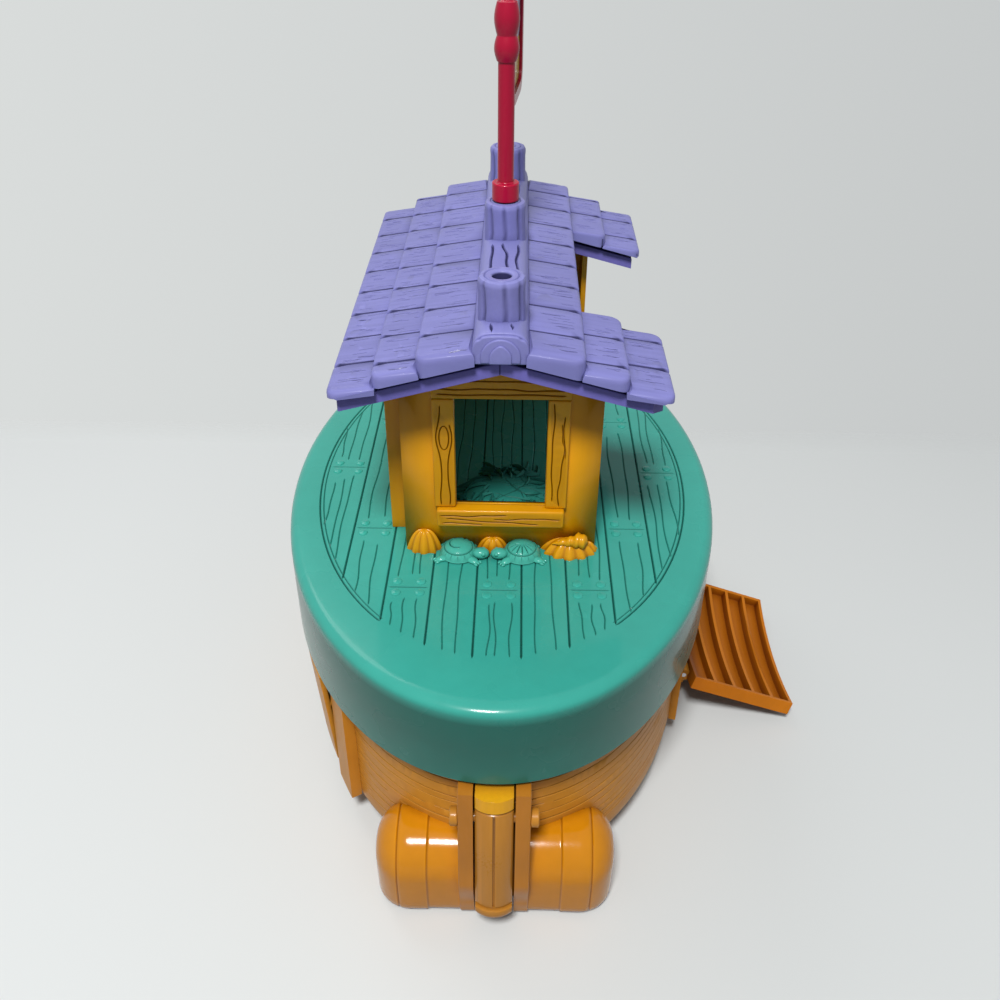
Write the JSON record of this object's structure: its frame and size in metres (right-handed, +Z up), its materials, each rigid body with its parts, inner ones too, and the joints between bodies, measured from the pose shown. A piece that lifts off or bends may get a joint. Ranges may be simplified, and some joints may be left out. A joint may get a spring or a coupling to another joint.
{
  "type": "toy ark",
  "caption": "Toy ark: oval planked hull with fold-down sides, lift-up deck with a stern latch, cabin under a shingled roof with a log ridge, and a flag on a turning pole.",
  "frame": {"origin": "on the floor under the middle of the deck", "axes": "+X to starboard, where the ramp is; +Y to the bow; +Z up"},
  "size_m": [0.2915, 0.3929, 0.388],
  "materials": {
    "hull_tan": "satin with moulded grain",
    "barrel_amber": "gloss",
    "cabin_amber": "satin with moulded grain",
    "deck_teal": "half gloss",
    "roof_purple": "satin with moulded shingles",
    "flag_red": "gloss",
    "steel": "plain"
  },
  "bodies": {
    "hull": {"hull_shell": "hull_tan", "left_door_frame": "hull_tan", "right_door_frame": "hull_tan", "left_hinge_rod": "steel", "right_hinge_rod": "steel", "stern_bracket": "hull_tan", "stern_barrel_left": "barrel_amber", "stern_barrel_right": "barrel_amber", "latch_pin": "hull_tan", "latch_spring": "steel", "bow_bracket": "hull_tan", "deck_hinge_pin": "hull_tan"},
    "latch": {"latch_lever": "hull_tan", "latch_hook": "hull_tan"},
    "ramp": {"ramp_leaf": "hull_tan"},
    "side": {"side_leaf": "hull_tan"},
    "deck": {"deck_cap": "deck_teal", "cabin_front": "cabin_amber", "cabin_left_wall": "cabin_amber", "cabin_back_wall": "cabin_amber", "straw_bed": "deck_teal", "turtle_left": "deck_teal", "turtle_right": "deck_teal", "shells": "cabin_amber", "roof_liner": "roof_purple", "roof_shingles": "roof_purple", "ridge_log": "roof_purple"},
    "flag": {"flag_pole": "flag_red", "flag_frame": "flag_red", "flag_panel": "flag_red"}
  },
  "joints": [
    {"name": "deck_lift", "type": "hinge", "parent": "hull", "child": "deck", "pos_m": [0, 0.184, 0.074], "axis": [-1, 0, 0], "range_deg": [0, 60]},
    {"name": "latch", "type": "hinge", "parent": "hull", "child": "latch", "pos_m": [0, -0.184, 0.074], "axis": [-1, 0, 0], "range_deg": [0, 6], "stiffness_Nm_per_rad": 0.1, "springref_deg": -5.73, "deforming": ["latch_spring"]},
    {"name": "ramp_fold", "type": "hinge", "parent": "hull", "child": "ramp", "pos_m": [0.11, -0.0048, 0.0255], "axis": [0, -1, 0], "range_deg": [0, 109]},
    {"name": "side_fold", "type": "hinge", "parent": "hull", "child": "side", "pos_m": [-0.108, 0, 0.0255], "axis": [0, -1, 0], "range_deg": [-4, 105]},
    {"name": "flag_turn", "type": "hinge", "parent": "deck", "child": "flag", "pos_m": [0, 0.0205, 0.29], "axis": [0, 0, 1], "continuous": true}
  ]
}
